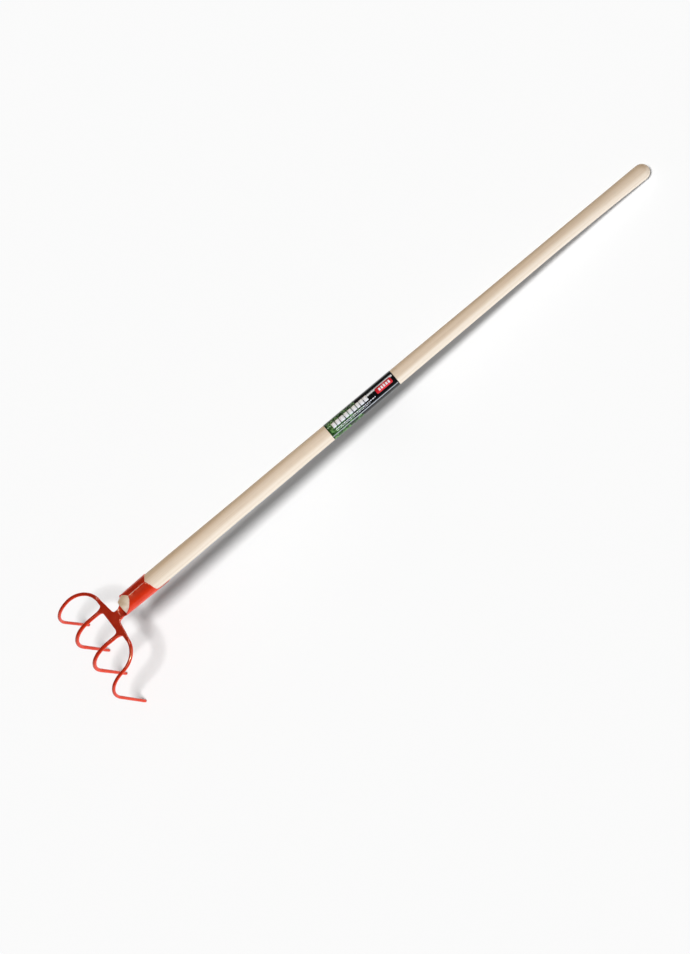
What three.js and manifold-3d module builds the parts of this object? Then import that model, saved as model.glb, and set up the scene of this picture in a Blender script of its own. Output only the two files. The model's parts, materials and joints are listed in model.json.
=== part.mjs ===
// Long-handled four-tine hand cultivator: a forged steel head on a turned wooden handle.
// Millimetres, +Z up, resting on its four tine tips and the butt of the handle.
// Tool axes used while building: +X along the handle towards the butt, Y across the crossbar,
// -Z the way the tines dig, and X = 0 where the handle enters the socket's mouth.
import * as THREE from "three";
import { mergeVertices } from "three/addons/utils/BufferGeometryUtils.js";
import Module from "manifold-3d";

// Handle
const BUTT_WIDEST = { x: 1306, radius: 17.3 };
const HANDLE_STATIONS = [
  // [x, radius] down the length: fitted end, full grip at the socket, slim waist, swollen butt
  [-60, 19.2],
  [0, 20.3],
  [50, 20.4],
  [80, 20.4],
  [160, 19.9],
  [240, 19.45],
  [360, 19.35],
  [450, 18.7],
  [670, 17.75],
  [790, 17.3],
  [930, 16.5],
  [1050, 15.95],
  [1180, 16.1],
  [1240, 16.5],
  [1280, 17.05],
  [BUTT_WIDEST.x, BUTT_WIDEST.radius],
  [1315, 16.5],
  [1320, 14.2],
  [1323.4, 9],
];
const HANDLE_CUT_X = -75.5;
const HANDLE_CUT_RADIUS = 14.5;
const HANDLE_CUT_DROP = 4.5; // the cut end keeps to the back of the socket
const HANDLE_BUTT_X = 1325;
const HANDLE_BUTT_RADIUS = 1.5; // left flat at the very end
const BUTT_BOW = 3.4; // sideways, as the wood has moved
const BUTT_BOW_START_X = 1040;
const HANDLE_SEGMENTS = 40;

// Printed sleeve round the handle
const SLEEVE_X = [478, 653];
const SLEEVE_GAP = 0.25;
const SLEEVE_THICKNESS = 0.3;

// Socket, rolled from the forging's own sheet
const SOCKET_MOUTH_RADIUS = 21.9;
const SOCKET_TAPER = 0.018; // radius lost per mm below the mouth
const SHEET_THICKNESS = 1.2;
const SEAM_GAP = 1.3;
const SEAM_LEAN = 6; // degrees off the top, towards -Y
const PEAK_ANGLE = 19; // the sheet's last stretch before the seam stays flat, so that the seam stands proud
const NECK_END_X = -94;
const LOWER_RIM_LEFT = [
  // [degrees round from the back of the socket, x]
  [0, NECK_END_X],
  [33, NECK_END_X],
  [36, -86],
  [43, -79.5],
  [56, -75],
  [72, -70],
  [90, -66.5],
  [112, -64.5],
  [128, -62],
  [149, -57],
  [168, -51],
  [180, -48.5],
];
const LOWER_RIM_RIGHT = [
  [0, NECK_END_X],
  [33, NECK_END_X],
  [36, -85],
  [46, -80],
  [60, -78],
  [82, -77],
  [97, -75],
  [105, -71],
  [121, -63.5],
  [140, -57.5],
  [159, -52],
  [180, -48.5],
];
const UPPER_RIM = [
  [0, 50],
  [24, 47.5],
  [44, 39],
  [61, 29],
  [76, 13.5],
  [92, 5.5],
  [120, 2.5],
  [150, 0.8],
  [166, -1.5],
  [180, -4.5],
];
const SOCKET_ROWS = 16;
const SOCKET_STEP = 9; // degrees
const SOCKET_LEAST_STEP = 2.5; // degrees between the rims' own corners

// Neck and crossbar
const PLATE_THICKNESS = 6.6;
const PLATE_UNDERSIDE = 22; // below the handle's axis
const PLATE_EDGE = 1.3; // rounding of its rims
const OUTLINE_CURVE_STEPS = 5;
const NECK_HALF_WIDTH = 11.3;
const NECK_FLAT_X = [-81, -94]; // where the round socket turns into the flat neck
const NECK_THICKEN_X = [-79, -93];
const CROSSBAR_X = -107; // centreline
const CROSSBAR_BACK_X = -98;
const CROSSBAR_FRONT_X = -115;
const NECK_SHOULDER_Y = 18.5; // the neck's curve ends here on the back edge
const NECK_FLARE = 1.4;
const BACK_EDGE_END = [-101.4, 45]; // the back edge slopes to here, then curves into the outer tine
const BACK_EDGE_CURVE = [-102.6, 50];
const FRONT_EDGE_Y = 20; // half the straight stretch between the inner tines
const WEB_X = -106.8; // depth of the web between an inner tine's root and the outer one
const ROOT_CURVE_X = { outer: -120, inner: -123 }; // where an inner tine's sides turn straight
const FORGING_GAP = 0.3;

// Tines
const TINE_ROOT_RADIUS = 4.4;
const TINE_BEND_RADIUS = 3.9;
const TINE_BEND_SHARE = 0.45; // of the tine's length, drawn down to the bend's radius
const TINE_TIP_RADIUS = 3;
const TIP_DOME_ANGLES = [35, 65, 85]; // degrees ahead of the tip's centre
const INNER_TINE_Y = 34.4;
const INNER_TINE_START_X = -124;
const INNER_FORWARD_END_X = -144.7;
const OUTER_TINE_START_Y = 55;
const OUTER_SWEEP_RADIUS = 50.3;
const OUTER_SWEEP_END = 14; // degrees still to turn when the tine starts down
const OUTER_SWEEP_DIP = 3;
const OUTER_HOOK_DIP = 12;
const OUTER_BEND_RADIUS = 53;
const OUTER_FLARE = 2.1; // degrees each side
const EASE_RADIUS = 86;
const EASE_DIP = 6.5; // degrees
const BEND_RADIUS = 51;
const LEG_DIP = 109.6;
const TIP_CENTRE = { x: -167, z: -165 };
const TINE_SEGMENTS = 14;

// Fixing nail through the socket's back tongue
const NAIL_X = 32;
const NAIL_HEAD_RADIUS = 5;
const NAIL_HEAD_HEIGHT = 2.4;
const NAIL_SHANK_RADIUS = 2;
const NAIL_LENGTH = 24;
const NAIL_POINT_LENGTH = 3;
const NAIL_SEGMENTS = 20;
const NAIL_HOLE_RADIUS = 2.35;
const NAIL_HOLE_SEGMENTS = 16;
const NAIL_HOLE_SPARE = 2; // the hole runs on past the nail's point
const NAIL_PROFILE = [
  // [share of the head's radius, share of its height], from its rim to its crown
  [1, 0],
  [0.88, 0.55],
  [0.5, 0.92],
  [0, 1],
];

// Materials
const WOOD = 0xe2cfb2;
const RED_ENAMEL = 0xc8290f;
const ENAMEL_ROUGHNESS = 0.3;
const ENAMEL_METALNESS = 0.1;
const SLEEVE_BLACK = 0x17191a;
const NAIL_STEEL = 0x8e9194;

const rad = THREE.MathUtils.degToRad;
const group = new THREE.Group();
group.name = "hand_cultivator";

function addMesh(name, geometry, color, roughness, metalness) {
  const material = new THREE.MeshStandardMaterial({ color, roughness, metalness });
  material.name = `${name}_material`;
  const mesh = new THREE.Mesh(geometry, material);
  mesh.name = name;
  group.add(mesh);
  return mesh;
}

// Value at x of a table of [x, value] rows in rising x, straight between rows.
function readTable(table, x) {
  let row = 1;
  while (row < table.length - 1 && x > table[row][0]) row += 1;
  const [x0, v0] = table[row - 1];
  const [x1, v1] = table[row];
  const share = THREE.MathUtils.clamp((x - x0) / (x1 - x0), 0, 1);
  return v0 + (v1 - v0) * share;
}

// A closed body from rings of points, the first and last ring each closed by a fan on its centre.
function bodyFromRings(rings) {
  const count = rings[0].length;
  const positions = rings.flat().flatMap((p) => [p.x, p.y, p.z]);
  const index = [];
  for (let i = 0; i < rings.length - 1; i += 1) {
    for (let j = 0; j < count; j += 1) {
      const k = (j + 1) % count;
      const a = i * count + j;
      const b = i * count + k;
      index.push(a, b, b + count, a, b + count, a + count);
    }
  }
  const ends = [
    [rings[0], false],
    [rings[rings.length - 1], true],
  ];
  for (const [ring, last] of ends) {
    const centre = ring.reduce((sum, p) => sum.add(p), new THREE.Vector3()).divideScalar(count);
    const hub = positions.length / 3;
    positions.push(centre.x, centre.y, centre.z);
    const first = last ? (rings.length - 1) * count : 0;
    for (let j = 0; j < count; j += 1) {
      const a = first + j;
      const b = first + ((j + 1) % count);
      index.push(...(last ? [hub, a, b] : [hub, b, a]));
    }
  }
  return indexed(positions, index);
}

function indexed(positions, index) {
  const geometry = new THREE.BufferGeometry();
  geometry.setAttribute("position", new THREE.Float32BufferAttribute(positions, 3));
  geometry.setIndex(index);
  return geometry;
}

// ---- Boolean cut ----
const wasm = await Module();
wasm.setup();

function toManifold(geometry) {
  const bare = geometry.clone();
  bare.deleteAttribute("normal");
  bare.deleteAttribute("uv");
  const merged = mergeVertices(bare, 1e-4);
  return new wasm.Manifold(
    new wasm.Mesh({
      numProp: 3,
      vertProperties: new Float32Array(merged.attributes.position.array),
      triVerts: new Uint32Array(merged.index.array),
    }),
  );
}

function cut(geometry, tool) {
  const mesh = toManifold(geometry).subtract(toManifold(tool)).getMesh();
  return indexed(Array.from(mesh.vertProperties), Array.from(mesh.triVerts));
}

// ---- Handle ----
function handleCentre(x) {
  const bowed = Math.max(0, (x - BUTT_BOW_START_X) / (HANDLE_BUTT_X - BUTT_BOW_START_X));
  const fittedFrom = HANDLE_STATIONS[0][0];
  const fitted = THREE.MathUtils.clamp((x - fittedFrom) / (HANDLE_CUT_X - fittedFrom), 0, 1);
  return new THREE.Vector3(x, -BUTT_BOW * bowed * bowed, -HANDLE_CUT_DROP * fitted);
}

function ringAcross(centre, radius, segments) {
  const ring = [];
  for (let j = 0; j < segments; j += 1) {
    const angle = (j / segments) * 2 * Math.PI;
    const spoke = new THREE.Vector3(0, Math.sin(angle), -Math.cos(angle));
    ring.push(centre.clone().addScaledVector(spoke, radius));
  }
  return ring;
}

function nailHole() {
  const length = NAIL_LENGTH + 2 * NAIL_HOLE_SPARE;
  const hole = new THREE.CylinderGeometry(NAIL_HOLE_RADIUS, NAIL_HOLE_RADIUS, length, NAIL_HOLE_SEGMENTS);
  hole.rotateX(Math.PI / 2);
  hole.translate(NAIL_X, 0, NAIL_LENGTH / 2 - SOCKET_MOUTH_RADIUS);
  return hole;
}

function makeHandle() {
  const cutEnd = [HANDLE_CUT_X, HANDLE_CUT_RADIUS];
  const buttEnd = [HANDLE_BUTT_X, HANDLE_BUTT_RADIUS];
  const stations = [cutEnd, ...HANDLE_STATIONS, buttEnd];
  const rings = stations.map(([x, radius]) => ringAcross(handleCentre(x), radius, HANDLE_SEGMENTS));
  addMesh("handle", cut(bodyFromRings(rings), nailHole()), WOOD, 0.6, 0);
}

// ---- Sleeve ----
function makeSleeve() {
  const profile = [];
  const radii = SLEEVE_X.map((x) => readTable(HANDLE_STATIONS, x) + SLEEVE_GAP);
  profile.push(new THREE.Vector2(radii[0], SLEEVE_X[0]));
  profile.push(new THREE.Vector2(radii[0] + SLEEVE_THICKNESS, SLEEVE_X[0]));
  profile.push(new THREE.Vector2(radii[1] + SLEEVE_THICKNESS, SLEEVE_X[1]));
  profile.push(new THREE.Vector2(radii[1], SLEEVE_X[1]));
  profile.push(profile[0].clone());
  const sleeve = new THREE.LatheGeometry(profile, HANDLE_SEGMENTS);
  sleeve.rotateZ(-Math.PI / 2);
  addMesh("label_sleeve", sleeve, SLEEVE_BLACK, 0.35, 0);
}

// ---- Socket ----
function socketRadius(x) {
  return SOCKET_MOUTH_RADIUS + SOCKET_TAPER * Math.min(x, 0);
}

// A point of the sheet, `turn` -1..1 round from seam to seam by way of the back, `depth` mm in.
function sheetPoint(turn, x, depth) {
  const reach = 180 + Math.sign(turn) * SEAM_LEAN;
  const outer = socketRadius(x);
  const halfGap = THREE.MathUtils.radToDeg(SEAM_GAP / 2 / outer);
  const degrees = turn * (reach - halfGap);
  const pastPeak = Math.max(0, Math.abs(degrees) - (reach - PEAK_ANGLE));
  const angle = rad(degrees);
  const flat = THREE.MathUtils.smoothstep(-x, -NECK_FLAT_X[0], -NECK_FLAT_X[1]);
  const thick = THREE.MathUtils.smoothstep(-x, -NECK_THICKEN_X[0], -NECK_THICKEN_X[1]);
  const inward = depth * THREE.MathUtils.lerp(1, PLATE_THICKNESS / SHEET_THICKNESS, thick);
  const radius = outer / Math.cos(rad(pastPeak)) - inward;
  const rolled = new THREE.Vector3(x, radius * Math.sin(angle), -radius * Math.cos(angle));
  const plate = new THREE.Vector3(x, outer * Math.sin(angle), inward - PLATE_UNDERSIDE);
  return rolled.lerp(plate, flat);
}

function socketTurns() {
  const angles = new Set([...LOWER_RIM_LEFT, ...UPPER_RIM].map(([angle]) => angle));
  for (let angle = 0; angle <= 180; angle += SOCKET_STEP) angles.add(angle);
  const inOrder = [...angles].sort((a, b) => a - b);
  const half = inOrder.filter((angle, i) => i === 0 || angle - inOrder[i - 1] > SOCKET_LEAST_STEP);
  return [...half.slice(1).reverse().map((a) => -a / 180), ...half.map((a) => a / 180)];
}

function makeSocket() {
  const turns = socketTurns();
  const rings = turns.map((turn) => {
    const angle = Math.abs(turn) * 180;
    const low = readTable(turn > 0 ? LOWER_RIM_LEFT : LOWER_RIM_RIGHT, angle);
    const high = readTable(UPPER_RIM, angle);
    const outside = [];
    const inside = [];
    for (let i = 0; i <= SOCKET_ROWS; i += 1) {
      const x = low + ((high - low) * i) / SOCKET_ROWS;
      outside.push(sheetPoint(turn, x, 0));
      inside.unshift(sheetPoint(turn, x, SHEET_THICKNESS));
    }
    return [...outside, ...inside];
  });
  addMesh("socket", cut(bandBody(rings), nailHole()), RED_ENAMEL, ENAMEL_ROUGHNESS, ENAMEL_METALNESS);
}

// A closed strip: rings of an outer run followed by the inner run back, ends closed by quads.
function bandBody(rings) {
  const count = rings[0].length;
  const positions = rings.flat().flatMap((p) => [p.x, p.y, p.z]);
  const index = [];
  for (let i = 0; i < rings.length - 1; i += 1) {
    for (let j = 0; j < count; j += 1) {
      const k = (j + 1) % count;
      const a = i * count + j;
      const b = i * count + k;
      index.push(a, b + count, b, a, a + count, b + count);
    }
  }
  for (const first of [0, (rings.length - 1) * count]) {
    for (let j = 0; j < count / 2 - 1; j += 1) {
      const a = first + j;
      const d = first + count - 1 - j;
      const quad = [a, a + 1, d - 1, a, d - 1, d];
      index.push(...(first === 0 ? quad : quad.reverse()));
    }
  }
  return indexed(positions, index);
}

// ---- Neck and crossbar ----
function halfOutline(side) {
  // plan view, from the neck round to the middle of the front edge
  const path = new THREE.Path();
  const y = (value) => side * value;
  const rootOuter = INNER_TINE_Y + TINE_ROOT_RADIUS;
  const rootInner = INNER_TINE_Y - TINE_ROOT_RADIUS;
  path.moveTo(NECK_END_X - FORGING_GAP, y(NECK_HALF_WIDTH));
  path.quadraticCurveTo(
    CROSSBAR_BACK_X,
    y(NECK_HALF_WIDTH + NECK_FLARE),
    CROSSBAR_BACK_X,
    y(NECK_SHOULDER_Y),
  );
  path.lineTo(BACK_EDGE_END[0], y(BACK_EDGE_END[1]));
  path.quadraticCurveTo(
    BACK_EDGE_CURVE[0],
    y(BACK_EDGE_CURVE[1]),
    CROSSBAR_X + TINE_ROOT_RADIUS,
    y(OUTER_TINE_START_Y),
  );
  path.lineTo(CROSSBAR_X - TINE_ROOT_RADIUS, y(OUTER_TINE_START_Y));
  path.quadraticCurveTo(WEB_X, y(rootOuter), ROOT_CURVE_X.outer, y(rootOuter));
  path.lineTo(INNER_TINE_START_X, y(rootOuter));
  path.lineTo(INNER_TINE_START_X, y(rootInner));
  path.lineTo(ROOT_CURVE_X.inner, y(rootInner));
  path.quadraticCurveTo(CROSSBAR_FRONT_X, y(rootInner), CROSSBAR_FRONT_X, y(FRONT_EDGE_Y));
  path.lineTo(CROSSBAR_FRONT_X, 0);
  return path.getPoints(OUTLINE_CURVE_STEPS);
}

function makePlate() {
  const left = halfOutline(1);
  const right = halfOutline(-1);
  const outline = new THREE.Shape([...left, ...right.reverse().slice(1)]);
  const plate = new THREE.ExtrudeGeometry(outline, {
    depth: PLATE_THICKNESS - 2 * PLATE_EDGE,
    bevelEnabled: true,
    bevelThickness: PLATE_EDGE,
    bevelSize: PLATE_EDGE,
    bevelOffset: -PLATE_EDGE,
    bevelSegments: 2,
  });
  plate.translate(0, 0, PLATE_EDGE - PLATE_UNDERSIDE);
  addMesh("neck_crossbar", plate, RED_ENAMEL, ENAMEL_ROUGHNESS, ENAMEL_METALNESS);
}

// ---- Tines ----
// Heading dipped below level, and turned aside from straight ahead.
function aim(aside, dip) {
  const level = Math.cos(rad(dip));
  return new THREE.Vector3(-level * Math.cos(rad(aside)), level * Math.sin(rad(aside)), -Math.sin(rad(dip)));
}

// Heading in a hook's own plane, which leans outwards by the flare.
function hookAim(side, dip) {
  const outwards = side * Math.tan(rad(OUTER_FLARE));
  return new THREE.Vector3(-Math.cos(rad(dip)), outwards, -Math.sin(rad(dip))).normalize();
}

// A run of stations: straight lengths, and arcs that turn the heading to a new one.
function startRun(point, heading) {
  const run = { point: point.clone(), heading: heading.clone(), stations: [] };
  addStation(run);
  return run;
}

function addStation(run) {
  run.stations.push({ point: run.point.clone(), heading: run.heading.clone() });
}

function goStraight(run, length, steps) {
  for (let i = 0; i < steps; i += 1) {
    run.point.addScaledVector(run.heading, length / steps);
    addStation(run);
  }
}

function turnTo(run, heading, radius, steps) {
  const axis = new THREE.Vector3().crossVectors(run.heading, heading).normalize();
  const angle = run.heading.angleTo(heading);
  const towardsHub = new THREE.Vector3().crossVectors(axis, run.heading);
  const hub = run.point.clone().addScaledVector(towardsHub, radius);
  const from = run.point.clone().sub(hub);
  const start = run.heading.clone();
  for (let i = 1; i <= steps; i += 1) {
    const turned = (angle * i) / steps;
    run.point.copy(from).applyAxisAngle(axis, turned).add(hub);
    run.heading.copy(start).applyAxisAngle(axis, turned);
    addStation(run);
  }
}

// Straight on until the tip's centre stands the same height off the ground as TIP_CENTRE.
function goToGround(run, steps) {
  const drop = Math.tan(REST_TILT);
  const short = run.point.z - (TIP_CENTRE.z + (run.point.x - TIP_CENTRE.x) * drop);
  goStraight(run, short / (run.heading.x * drop - run.heading.z), steps);
}

function tineBody(run) {
  const { stations } = run;
  const lengths = [0];
  for (let i = 1; i < stations.length; i += 1) {
    lengths.push(lengths[i - 1] + stations[i].point.distanceTo(stations[i - 1].point));
  }
  const total = lengths[lengths.length - 1];
  const taper = [
    [0, TINE_ROOT_RADIUS],
    [total * TINE_BEND_SHARE, TINE_BEND_RADIUS],
    [total, TINE_TIP_RADIUS],
  ];
  const across = new THREE.Vector3(0, 0, 1);
  const rings = stations.map(({ point, heading }, i) => {
    across.addScaledVector(heading, -across.dot(heading)).normalize();
    return ringRound(point, heading, across, readTable(taper, lengths[i]));
  });
  const { point, heading } = stations[stations.length - 1];
  for (const angle of TIP_DOME_ANGLES) {
    const ahead = point.clone().addScaledVector(heading, TINE_TIP_RADIUS * Math.sin(rad(angle)));
    rings.push(ringRound(ahead, heading, across, TINE_TIP_RADIUS * Math.cos(rad(angle))));
  }
  return bodyFromRings(rings);
}

function ringRound(point, heading, across, radius) {
  const side = new THREE.Vector3().crossVectors(heading, across);
  const ring = [];
  for (let j = 0; j < TINE_SEGMENTS; j += 1) {
    const angle = (j / TINE_SEGMENTS) * 2 * Math.PI;
    const spoke = across.clone().multiplyScalar(Math.cos(angle)).addScaledVector(side, Math.sin(angle));
    ring.push(point.clone().addScaledVector(spoke, radius));
  }
  return ring;
}

const PLATE_MIDDLE_Z = PLATE_THICKNESS / 2 - PLATE_UNDERSIDE;
const TIP_TO_BUTT = BUTT_WIDEST.x - TIP_CENTRE.x;
const REST_TILT =
  Math.atan2(-TIP_CENTRE.z, TIP_TO_BUTT) -
  Math.asin((BUTT_WIDEST.radius - TINE_TIP_RADIUS) / Math.hypot(TIP_CENTRE.z, TIP_TO_BUTT));

function makeInnerTine(side, name) {
  const root = new THREE.Vector3(INNER_TINE_START_X - FORGING_GAP, side * INNER_TINE_Y, PLATE_MIDDLE_Z);
  const run = startRun(root, aim(0, 0));
  goStraight(run, root.x - INNER_FORWARD_END_X, 2);
  turnTo(run, aim(0, EASE_DIP), EASE_RADIUS, 2);
  turnTo(run, aim(0, LEG_DIP), BEND_RADIUS, 16);
  goToGround(run, 4);
  addMesh(name, tineBody(run), RED_ENAMEL, ENAMEL_ROUGHNESS, ENAMEL_METALNESS);
}

function makeOuterTine(side, name) {
  const root = new THREE.Vector3(CROSSBAR_X, side * (OUTER_TINE_START_Y + FORGING_GAP), PLATE_MIDDLE_Z);
  const run = startRun(root, aim(side * 90, 0));
  turnTo(run, aim(side * OUTER_SWEEP_END, OUTER_SWEEP_DIP), OUTER_SWEEP_RADIUS, 12);
  turnTo(run, hookAim(side, OUTER_HOOK_DIP), OUTER_BEND_RADIUS, 3);
  turnTo(run, hookAim(side, LEG_DIP), OUTER_BEND_RADIUS, 15);
  goToGround(run, 4);
  addMesh(name, tineBody(run), RED_ENAMEL, ENAMEL_ROUGHNESS, ENAMEL_METALNESS);
}

// ---- Nail ----
function makeNail() {
  const seat = -SOCKET_MOUTH_RADIUS - FORGING_GAP;
  const head = NAIL_PROFILE.map(
    ([out, down]) => new THREE.Vector2(NAIL_HEAD_RADIUS * out, seat - NAIL_HEAD_HEIGHT * down),
  );
  const shank = [
    new THREE.Vector2(NAIL_SHANK_RADIUS, seat),
    new THREE.Vector2(NAIL_SHANK_RADIUS, seat + NAIL_LENGTH - NAIL_POINT_LENGTH),
    new THREE.Vector2(0, seat + NAIL_LENGTH),
  ];
  const nail = new THREE.LatheGeometry([...head.reverse(), ...shank], NAIL_SEGMENTS);
  nail.rotateX(Math.PI / 2);
  nail.translate(NAIL_X, 0, 0);
  addMesh("socket_nail", nail, NAIL_STEEL, 0.4, 0.8);
}

makeHandle();
makeSleeve();
makeSocket();
makePlate();
makeInnerTine(1, "tine_inner_left");
makeInnerTine(-1, "tine_inner_right");
makeOuterTine(1, "tine_outer_left");
makeOuterTine(-1, "tine_outer_right");
makeNail();

// Lay the tool down on its tips and butt, and centre it over the origin.
for (const mesh of group.children) mesh.geometry.rotateY(REST_TILT);
const box = new THREE.Box3().setFromObject(group);
const middle = box.getCenter(new THREE.Vector3());
for (const mesh of group.children) mesh.geometry.translate(-middle.x, -middle.y, -box.min.z);

export default group;
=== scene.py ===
"""Looks for a long-handled four-tine hand cultivator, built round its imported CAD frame.

Shapes are worked out in the tool's own axes, in millimetres: +X along the handle towards the butt
with 0 at the socket's mouth, Y across the crossbar, and -Z the way the tines dig. They are then moved
into the frame in metres. Materials read the same tool axes, so that grain follows the handle.
"""
import json
import math
import random

import bmesh
import bpy
import numpy as np
from mathutils import Matrix, Vector, noise

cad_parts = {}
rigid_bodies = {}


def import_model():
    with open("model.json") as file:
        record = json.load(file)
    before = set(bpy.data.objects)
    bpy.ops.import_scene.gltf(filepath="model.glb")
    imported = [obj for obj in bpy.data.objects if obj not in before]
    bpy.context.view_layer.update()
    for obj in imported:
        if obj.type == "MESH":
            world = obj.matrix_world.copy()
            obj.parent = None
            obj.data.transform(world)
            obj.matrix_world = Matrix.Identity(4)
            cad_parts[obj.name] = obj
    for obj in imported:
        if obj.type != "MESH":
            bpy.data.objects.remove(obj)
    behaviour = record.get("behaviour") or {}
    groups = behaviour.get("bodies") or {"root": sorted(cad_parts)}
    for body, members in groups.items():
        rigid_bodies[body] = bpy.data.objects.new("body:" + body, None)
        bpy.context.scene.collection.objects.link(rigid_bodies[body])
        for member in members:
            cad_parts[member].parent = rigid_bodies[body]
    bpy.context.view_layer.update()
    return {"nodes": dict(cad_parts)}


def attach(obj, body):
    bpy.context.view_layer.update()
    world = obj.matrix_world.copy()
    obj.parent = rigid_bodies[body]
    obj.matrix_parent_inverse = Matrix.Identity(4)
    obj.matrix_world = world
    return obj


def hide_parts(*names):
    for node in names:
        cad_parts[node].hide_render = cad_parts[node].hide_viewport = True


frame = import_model()
MM = 0.001

# ---- Driving dimensions, mm and degrees ----
HANDLE_PROFILE = [
    # (x, radius): full grip at the socket, slim waist, swollen butt
    (-60, 19.2), (0, 20.3), (50, 20.4), (80, 20.4), (160, 19.9), (240, 19.45), (360, 19.35), (450, 18.7),
    (670, 17.75), (790, 17.3), (930, 16.5), (1050, 15.95), (1180, 16.1), (1240, 16.5), (1280, 17.05),
    (1303, 17.3),
]
PROFILE_ROUNDING = 12  # each way along the handle
HANDLE_CUT_X = -75.5
HANDLE_CUT_RADIUS = 14.5
HANDLE_CUT_DROP = 4.5  # the cut end keeps to the back of the socket
WHITTLE_CURVE = 1.15  # power of the whittled stretch's taper
CUT_MIDDLE_SHARE = 0.35  # of the cut end's radius
CUT_RIM = ((0, 1.0), (0.25, 0.3))  # (past the cut, short of the full radius) on its eased rim
HANDLE_BUTT_X = 1325
HANDLE_BUTT_RADIUS = 0.6  # left flat at the very end
BUTT_ROUND = 22  # length of the domed end
DOME_POWERS = (2.6, 1.9)  # along the handle and out from its axis
BUTT_BOW = 3.4  # sideways, as the wood has moved
BUTT_BOW_START_X = 1040
WOOD_WANDER = 0.12  # how far a turned surface strays
WANDER_LENGTHS = (90, 11, 11)

SLEEVE_X = (478, 653)
SLEEVE_GAP = 0.25
SLEEVE_THICKNESS = 0.3

MOUTH_RADIUS = 21.9
SOCKET_TAPER = 0.018  # radius lost per mm below the mouth
SHEET = 1.2
SEAM_GAP = 1.3
SEAM_LEAN = 6  # degrees off the top, towards -Y
PEAK_LEFT = 13  # degrees of the rolled sheet that stay flat before the seam
PEAK_RIGHT = 22
NECK_END_X = -94
LOWER_RIM_LEFT = [
    # (degrees round from the back, x)
    (0, NECK_END_X), (33, NECK_END_X), (36, -86), (43, -79.5), (56, -75), (72, -70),
    (90, -66.5), (112, -64.5), (128, -62), (149, -57), (168, -51), (180, -48.5),
]
LOWER_RIM_RIGHT = [
    (0, NECK_END_X), (33, NECK_END_X), (36, -85), (46, -80), (60, -78), (82, -77),
    (97, -75), (105, -71), (121, -63.5), (140, -57.5), (159, -52), (180, -48.5),
]
UPPER_RIM = [
    (0, 50), (24, 47.5), (44, 39), (61, 29), (76, 13.5), (92, 5.5),
    (120, 2.5), (150, 0.8), (166, -1.5), (180, -4.5),
]

PLATE_THICKNESS = 6.6
PLATE_UNDERSIDE = 22  # below the handle's axis
NECK_HALF_WIDTH = 11.3
NECK_WAIST = 0.8  # narrower than that where it runs in under the socket
NECK_OVERLAP = 6
NECK_FLAT_X = (-81, -94)  # where the round socket turns into the flat neck
NECK_THICKEN_X = (-79, -93)
CROSSBAR_X = -107  # centreline
CROSSBAR_BACK_X = -98
CROSSBAR_FRONT_X = -115
NECK_SHOULDER_Y = 18.5  # the neck's curve ends here on the back edge
NECK_CURVE = (0.6, 1.4)  # its corner, back from the edge and out from the neck
BACK_EDGE_END = (-101.4, 45)  # the back edge slopes to here, then curves into the outer tine
BACK_EDGE_CURVE = (-102.6, 50)
FRONT_EDGE_Y = 20  # half the straight stretch between the inner tines
FRONT_CURVE = (0.2, 0.4)  # its corner, back from the edge and in from an inner tine
WEB_X = -106.8  # depth of the web between an inner tine's root and the outer one
WEB_REACH = 1.2  # past an inner tine's outer side
ROOT_CURVE_X = (-120, -121)  # where an inner tine's outer and inner sides turn straight
STUB_TAPER = 13  # the plate's flats run out along each tine's root
INNER_STUB_TIP = 1.4  # half its width
OUTER_STUB_TIP = (0.9, -1.9)  # its back and front, from the crossbar's centreline

TINE_ROOT_RADIUS = 4.4
ROOT_FLAT = 6  # a tine is as flat as the crossbar for this far
ROOT_SUNK = 0.1  # keeps a root's top and bottom inside the plate
TINE_BEND_RADIUS = 3.9
TINE_TIP_RADIUS = 3.0
DRAWN_SHARE = 0.18  # of a tine's length, drawn down nearly to the bend's radius
DRAWN_SPARE = 0.1
BEND_SHARE = 0.5
TIP_DOME_ANGLES = (20, 38, 54, 68, 80, 88)  # degrees ahead of the tip's centre
INNER_STOUTNESS = 0.35  # added to the radius, partly for what the forging's smoothing takes off
OUTER_STOUTNESS = -0.15
TIP_STOUTNESS = 0.3
INNER_TINE_Y = 34.4
INNER_TINE_START_X = -112
INNER_FORWARD_END_X = -144.7
OUTER_TINE_START_Y = 55
OUTER_ROOT_OVERLAP = 9
OUTER_SWEEP_RADIUS = 50.3
OUTER_SWEEP_END = 14  # degrees still to turn when the tine starts down
OUTER_SWEEP_DIP = 3
OUTER_HOOK_DIP = 12
OUTER_BEND_RADIUS = 53
OUTER_FLARE = 2.1  # degrees each side
EASE_RADIUS = 86
EASE_DIP = 6.5  # degrees
BEND_RADIUS = 51
LEG_DIP = 109.6
TIP_CENTRE = (-167, -165)  # x, z

NAIL_X = 32
NAIL_HEAD_RADIUS = 5
NAIL_HEAD_HEIGHT = 2.4
NAIL_HEAD_EDGE = 0.7
NAIL_SHANK_RADIUS = 2
NAIL_LENGTH = 24
NAIL_POINT_LENGTH = 3
NAIL_DOME_ANGLES = (89, 80, 68, 54, 40, 26, 12, 0)


# ---- The tool's axes in the frame, read off the label sleeve's two ends ----
def ring_middle(points):
    return Vector((points.min(0) + points.max(0)) / 2)


def tool_axes():
    sleeve = np.array([v.co[:] for v in frame["nodes"]["label_sleeve"].data.vertices])
    middle_x = (sleeve[:, 0].min() + sleeve[:, 0].max()) / 2
    head_end = ring_middle(sleeve[sleeve[:, 0] < middle_x])
    butt_end = ring_middle(sleeve[sleeve[:, 0] > middle_x])
    along = (butt_end - head_end).normalized()
    across = Vector((0, 1, 0))
    up = along.cross(across)
    origin = head_end - along * SLEEVE_X[0] * MM
    axes = Matrix((along, across, up)).transposed().to_4x4()
    axes.translation = origin
    return axes


TOOL = tool_axes()
REST_TILT = math.asin(-TOOL.col[0][2])


def to_frame(point):
    return TOOL @ (Vector(point) * MM)


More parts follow.
